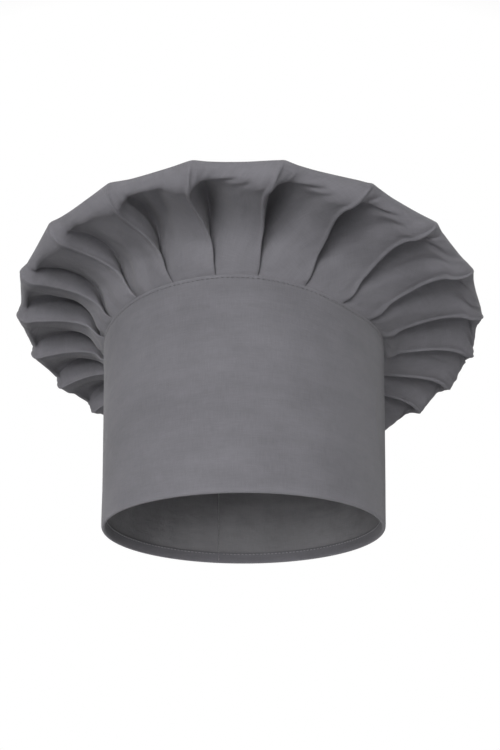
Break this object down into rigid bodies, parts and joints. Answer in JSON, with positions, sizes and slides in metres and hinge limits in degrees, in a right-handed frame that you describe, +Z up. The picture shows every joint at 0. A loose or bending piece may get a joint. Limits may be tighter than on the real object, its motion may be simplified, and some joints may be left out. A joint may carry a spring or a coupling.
{
  "type": "chef toque",
  "caption": "Cloth chef's hat: round pleated crown on a tall stiffened band, with a peel-open hook-and-loop flap behind.",
  "frame": {"origin": "centre of the head opening, level with the band's lower edge", "axes": "+Z up through the crown; the wearer faces -Y, so the closure is at +Y; +X is the wearer's left"},
  "size_m": [0.322, 0.3219, 0.208],
  "materials": {
    "twill": "matt grey polyester-cotton twill",
    "interlining": "stiff off-white non-woven",
    "thread": "grey polyester sewing thread",
    "loop_tape": "dark grey brushed loop pile",
    "hook_tape": "dark grey woven tape with moulded hooks"
  },
  "bodies": {
    "hat": {"band_outer_cloth": "twill", "band_interlining": "interlining", "band_lining_cloth": "twill", "crown_cloth": "twill", "crown_seam_thread": "thread", "hem_thread": "thread", "loop_tape": "loop_tape", "loop_tape_thread": "thread", "flap_root_thread": "thread"},
    "closure_flap": {"closure_flap_cloth": "twill", "closure_flap_interlining": "interlining", "hook_tape": "hook_tape", "hook_tape_thread": "thread", "flap_edge_thread": "thread"}
  },
  "joints": [
    {"name": "closure_flap_hinge", "type": "hinge", "parent": "hat", "child": "closure_flap", "pos_m": [-0.01868, 0.09264, 0], "axis": [0.0111, -0.0548, -0.9984], "range_deg": [0, 100]}
  ]
}
